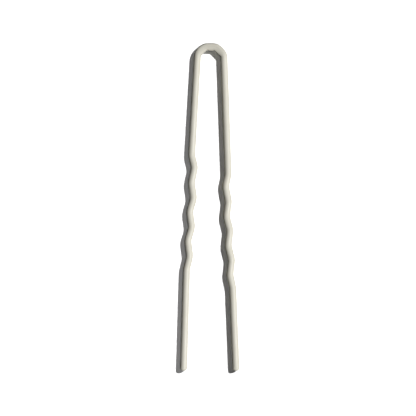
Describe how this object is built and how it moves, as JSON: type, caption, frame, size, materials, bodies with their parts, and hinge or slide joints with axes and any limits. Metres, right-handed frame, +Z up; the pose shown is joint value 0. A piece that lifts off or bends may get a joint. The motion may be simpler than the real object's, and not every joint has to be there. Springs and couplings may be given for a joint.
{
  "type": "hairpin",
  "caption": "Long U-shaped waved hairpin of enamelled spring wire, with a flat-sided bow, crimped legs and rounded tips.",
  "frame": {"origin": "centre of the pin's length and width, on the surface that it lies on", "axes": "+Y towards the bow, -Y towards the tips, +X towards the right leg, +Z up from the surface"},
  "size_m": [0.0128, 0.07, 0.0016],
  "materials": {
    "cream_enamel": "cream epoxy enamel, baked on, satin to semi-gloss",
    "spring_steel": "bright drawn spring steel wire"
  },
  "bodies": {
    "bow": {"bow_wire": "spring_steel", "bow_enamel": "cream_enamel"},
    "left_leg": {"left_leg_wire": "spring_steel", "left_leg_enamel": "cream_enamel"},
    "right_leg": {"right_leg_wire": "spring_steel", "right_leg_enamel": "cream_enamel"}
  },
  "joints": [
    {"name": "left_leg_flex", "type": "hinge", "parent": "bow", "child": "left_leg", "pos_m": [-0.00294, 0.027, 0.0008], "axis": [0, 0, 1], "range_deg": [-8, 4.3], "stiffness_Nm_per_rad": 1.4},
    {"name": "right_leg_flex", "type": "hinge", "parent": "bow", "child": "right_leg", "pos_m": [0.00321, 0.027, 0.0008], "axis": [0, 0, -1], "range_deg": [-8, 4.3], "stiffness_Nm_per_rad": 1.4}
  ]
}
